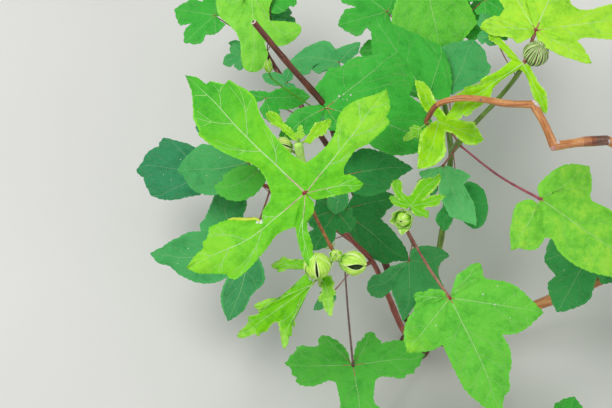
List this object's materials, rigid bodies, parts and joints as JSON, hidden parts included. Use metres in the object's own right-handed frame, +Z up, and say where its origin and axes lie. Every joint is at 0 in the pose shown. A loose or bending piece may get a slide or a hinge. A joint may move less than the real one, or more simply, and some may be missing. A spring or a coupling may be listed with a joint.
{
  "type": "sunset muskmallow plant",
  "caption": "Low sprawling mallow herb: leaning woody stems from one crown, palmately lobed toothed leaves on long pinkish stalks, pale green leafy buds, a zigzag bare stem and a cut stem.",
  "frame": {"origin": "middle of the flat cut under the root crown, at ground level", "axes": "+Z up; +Y away from the viewer of the picture, towards its top; +X towards its right"},
  "size_m": [0.5486, 0.5777, 0.3019],
  "materials": {
    "crown_bark": "rough grey-brown bark of the short root crown",
    "stem_red": "smooth reddish-brown young bark, satin",
    "stem_tan": "smooth orange-tan bark with pale grey scars at the nodes, satin",
    "stem_dark": "dark red-brown bark, satin, with a pale cut end",
    "stem_olive": "smooth olive-green bark flushed with brown, satin",
    "leaf_bright": "young bright yellow-green leaf, soft sheen, pale raised veins",
    "leaf_mid": "grown mid-green leaf, soft sheen, pale veins",
    "leaf_dark": "old shaded bluish-green leaf, matt, pale veins",
    "stalk_pink": "thin pinkish to orange-brown leaf stalk, satin",
    "bud_green": "pale green hairy bud with darker stripes, matt"
  },
  "bodies": {
    "root": {"root_crown": "crown_bark", "stem_left": "stem_red", "bough_front_left": "stem_red", "bough_side_left": "stem_red", "stem_middle": "stem_red", "stem_front": "stem_red", "stem_front_right": "stem_red", "stem_back": "stem_olive", "bough_far_back": "stem_olive", "stem_right_low": "stem_tan", "bough_right_rise": "stem_tan", "zigzag_first": "stem_tan", "zigzag_second": "stem_tan", "zigzag_arc": "stem_tan", "stem_cut_low": "stem_dark", "stem_cut_top": "stem_dark", "bough_far_left": "stem_dark", "foliage_top": "leaf_bright", "foliage_young_centre": "leaf_bright", "foliage_left": "leaf_dark", "foliage_middle": "leaf_bright", "foliage_high_right": "leaf_bright", "foliage_young_right": "leaf_bright", "foliage_behind": "leaf_mid", "foliage_far_left": "leaf_mid", "foliage_far_back": "leaf_mid", "foliage_right": "leaf_dark", "foliage_front": "leaf_mid", "foliage_front_right": "leaf_mid"}
  },
  "joints": []
}
